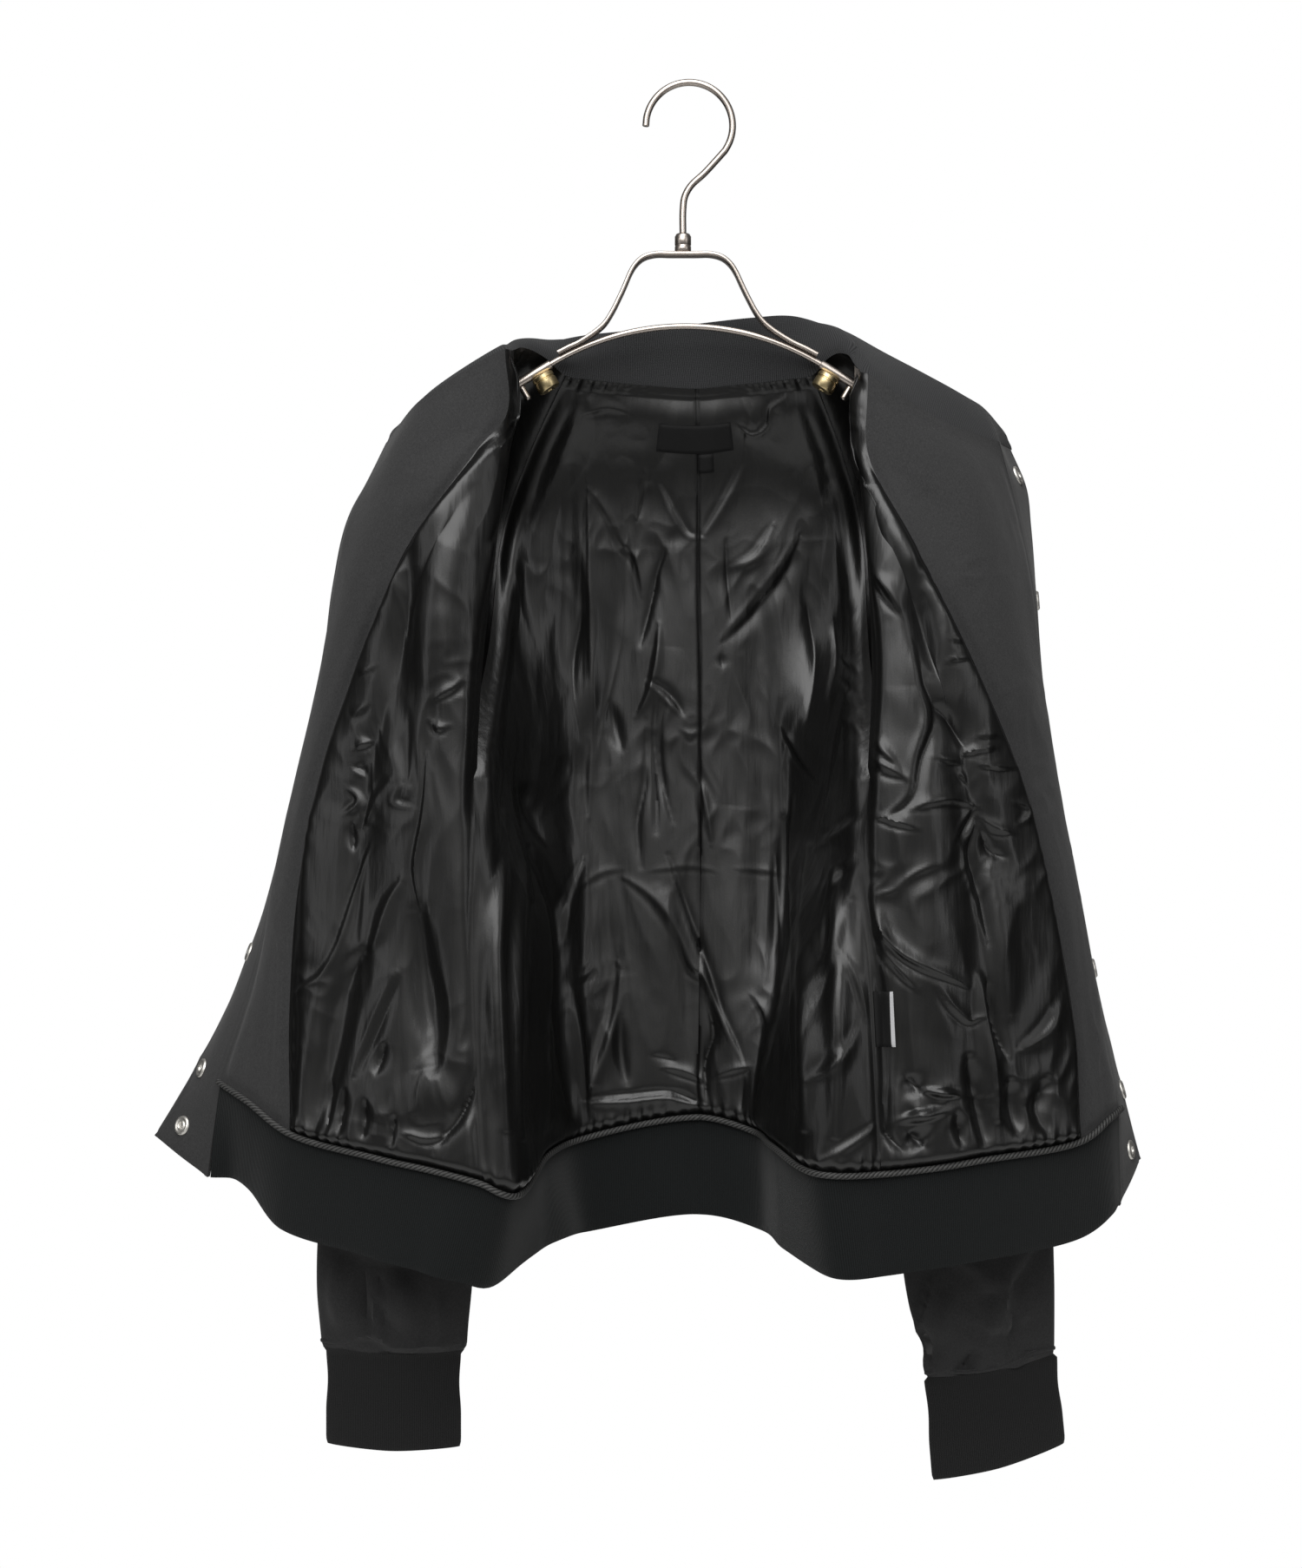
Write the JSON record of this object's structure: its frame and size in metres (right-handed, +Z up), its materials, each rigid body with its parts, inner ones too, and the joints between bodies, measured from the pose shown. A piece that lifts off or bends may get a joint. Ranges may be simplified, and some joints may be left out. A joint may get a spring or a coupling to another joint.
{
  "type": "varsity jacket on a hanger",
  "caption": "Snap-front varsity jacket hanging open on a metal hanger: raglan sleeves, rib collar, cuffs and hem, satin lining.",
  "frame": {"origin": "underside of the top of the hanger's hook, where it rests on the rod that holds it up", "axes": "+Z up, +X towards the wearer's left, +Y towards the jacket's back; the open front faces -Y"},
  "size_m": [0.5824, 0.1365, 0.8179],
  "materials": {
    "cloth": "black wool melton, short nap",
    "rib": "black rib knit",
    "satin": "black satin, soft sheen",
    "steel": "brushed nickel",
    "brass": "knurled brass",
    "snap_metal": "polished nickel"
  },
  "bodies": {
    "root": {"front_r": "cloth", "front_l": "cloth", "back": "cloth", "sleeve_r": "cloth", "sleeve_l": "cloth", "facing_r": "cloth", "facing_l": "cloth", "placket_r": "cloth", "placket_l": "cloth", "lining_front_r": "satin", "lining_front_l": "satin", "lining_back_r": "satin", "lining_back_l": "satin", "label": "satin", "size_tab": "satin", "care_label": "satin", "collar": "rib", "hem_rib": "rib", "cuff_r": "rib", "cuff_l": "rib", "hook": "steel", "ferrule": "steel", "bow": "steel", "rail": "steel", "arm_r": "steel", "arm_l": "steel", "nut_r": "brass", "nut_l": "brass", "stud_r": "steel", "stud_l": "steel", "snap_r_1": "snap_metal", "snap_r_2": "snap_metal", "snap_r_3": "snap_metal", "snap_r_4": "snap_metal", "snap_r_5": "snap_metal", "snap_r_6": "snap_metal", "snap_r_7": "snap_metal", "snap_l_1": "snap_metal", "snap_l_2": "snap_metal", "snap_l_3": "snap_metal", "snap_l_4": "snap_metal", "snap_l_5": "snap_metal", "snap_l_6": "snap_metal", "snap_l_7": "snap_metal"}
  },
  "joints": []
}
